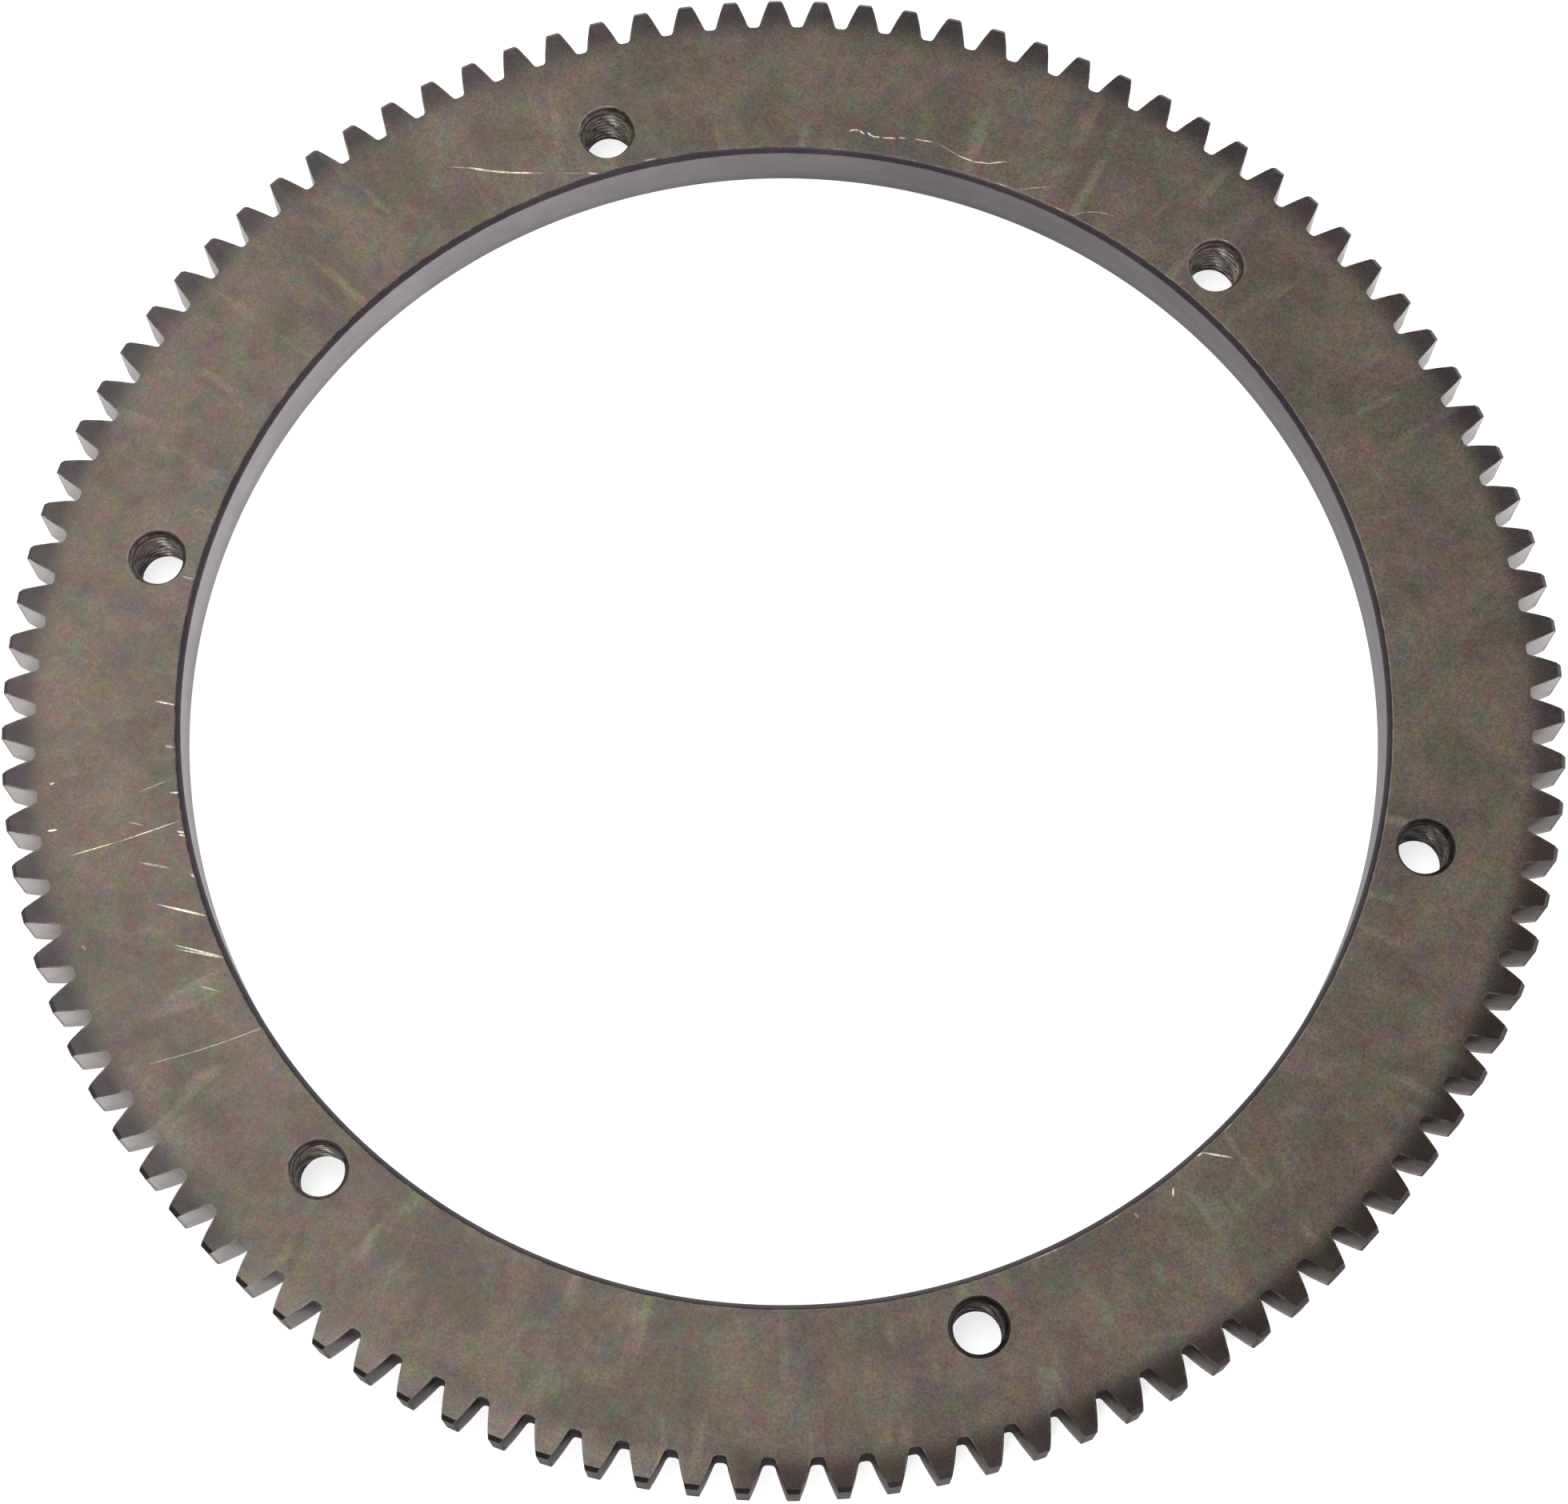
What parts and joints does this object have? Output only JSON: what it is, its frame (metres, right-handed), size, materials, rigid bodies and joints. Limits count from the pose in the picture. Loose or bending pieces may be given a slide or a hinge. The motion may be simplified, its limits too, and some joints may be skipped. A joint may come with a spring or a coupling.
{
  "type": "starter ring gear",
  "caption": "Flat starter ring gear with involute outer teeth bevelled on the upper side, a large plain bore and a circle of tapped bolt holes in its rim.",
  "frame": {"origin": "on the bore's axis, in the lower face that the ring lies on", "axes": "+Z along the axis towards the bevelled side of the teeth, +X through the centre of a tapped hole"},
  "size_m": [0.22, 0.2202, 0.0095],
  "materials": {
    "phosphated_steel": "heat-treated and phosphated, matt brown-grey with fine mottling"
  },
  "bodies": {
    "root": {"ring_gear": "phosphated_steel"}
  },
  "joints": []
}
